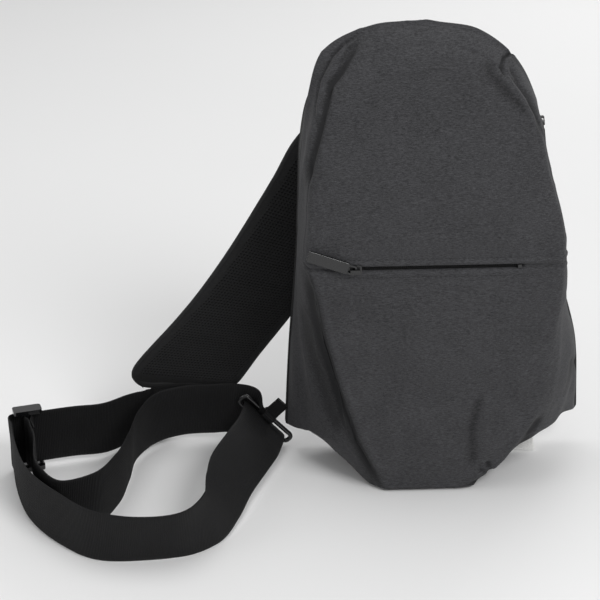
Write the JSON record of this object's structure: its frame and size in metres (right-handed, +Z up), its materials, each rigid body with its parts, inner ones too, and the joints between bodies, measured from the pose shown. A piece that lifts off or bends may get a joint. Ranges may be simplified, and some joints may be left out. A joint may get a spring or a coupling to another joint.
{
  "type": "sling bag",
  "caption": "One-shoulder sling bag with an arched body, a zipped front pocket, a padded mesh strap and adjustable webbing on an oblong ring.",
  "frame": {"origin": "on the ground at the centre of the flat base", "axes": "+Z up, -Y towards the front panel, +X to the right seen from the front"},
  "size_m": [0.4879, 0.2175, 0.3853],
  "materials": {
    "body_fabric": "dark grey melange polyester, matte, fine horizontal slub",
    "lining_fabric": "thin plain-weave nylon, slight sheen",
    "foam": "light foam sheet",
    "back_fabric": "black plain-weave polyester",
    "air_mesh": "black three-layer air mesh",
    "binding_tape": "black grosgrain binding tape",
    "zip_tape": "black woven zip tape",
    "zip_coil": "black nylon coil",
    "zip_metal": "black painted die-cast metal",
    "pull_grip": "glossy black moulded plastic",
    "webbing": "black ribbed polyester webbing",
    "hardware": "glossy black enamelled metal",
    "label": "white satin label, blank"
  },
  "bodies": {
    "bag": {"front_panel_upper": "body_fabric", "front_panel_lower": "body_fabric", "front_gusset": "body_fabric", "side_panel_left": "body_fabric", "side_panel_right": "body_fabric", "bottom_panel": "body_fabric", "main_lining": "lining_fabric", "pocket_divider": "lining_fabric", "slip_pocket": "lining_fabric", "back_foam": "foam", "back_cover": "back_fabric", "back_mesh_pad": "air_mesh", "back_binding": "binding_tape", "pocket_zip_tape_upper": "zip_tape", "pocket_zip_tape_lower": "zip_tape", "pocket_zip_coil": "zip_coil", "pocket_zip_stops": "zip_metal", "main_zip_tape_front": "zip_tape", "main_zip_tape_back": "zip_tape", "main_zip_coil": "zip_coil", "top_patch": "back_fabric", "strap_root": "back_fabric", "care_label": "label"},
    "pocket_slider": {"pocket_zip_slider": "zip_metal"},
    "pocket_pull": {"pocket_pull_link": "zip_metal", "pocket_pull_grip": "pull_grip"},
    "main_slider": {"main_zip_slider": "zip_metal"},
    "main_pull": {"main_pull_link": "zip_metal", "main_pull_grip": "pull_grip"},
    "strap": {"strap_foam": "foam", "strap_mesh": "air_mesh", "strap_fabric": "back_fabric", "strap_binding": "binding_tape", "webbing_pad_end": "webbing", "webbing_outer_run": "webbing", "webbing_ring_loop": "webbing", "webbing_inner_run": "webbing", "anchor_tab": "webbing"},
    "ring": {"strap_ring": "hardware"},
    "adjuster": {"adjuster": "hardware", "webbing_end_loop": "webbing"}
  },
  "joints": [
    {"name": "pocket_zip_slide", "type": "slide", "parent": "bag", "child": "pocket_slider", "axis": [1, 0, 0], "range_m": [0, 0.122]},
    {"name": "pocket_pull_flip", "type": "hinge", "parent": "pocket_slider", "child": "pocket_pull", "pos_m": [-0.066, -0.05485, 0.208], "axis": [0.342, 0, 0.9397], "range_deg": [0, 150]},
    {"name": "main_zip_travel", "type": "hinge", "parent": "bag", "child": "main_slider", "pos_m": [-0.008, 0.033, 0.285], "axis": [0, -1, 0], "range_deg": [0, 163]},
    {"name": "main_pull_flip", "type": "hinge", "parent": "main_slider", "child": "main_pull", "pos_m": [0.09108, 0.033, 0.29892], "axis": [0, -1, 0], "range_deg": [0, 150]},
    {"name": "strap_swing", "type": "hinge", "parent": "bag", "child": "strap", "pos_m": [-0.1176, 0.044, 0.034], "axis": [-0.4249, -0.0291, -0.9048], "range_deg": [0, 40]},
    {"name": "ring_tip", "type": "hinge", "parent": "strap", "child": "ring", "pos_m": [-0.137, 0.048, 0.022], "axis": [-0.7184, 0.0998, 0.6885], "range_deg": [-9, 9]},
    {"name": "adjuster_slide", "type": "slide", "parent": "strap", "child": "adjuster", "axis": [0.9668, 0.2554, 0], "range_m": [0, 0.04]}
  ]
}
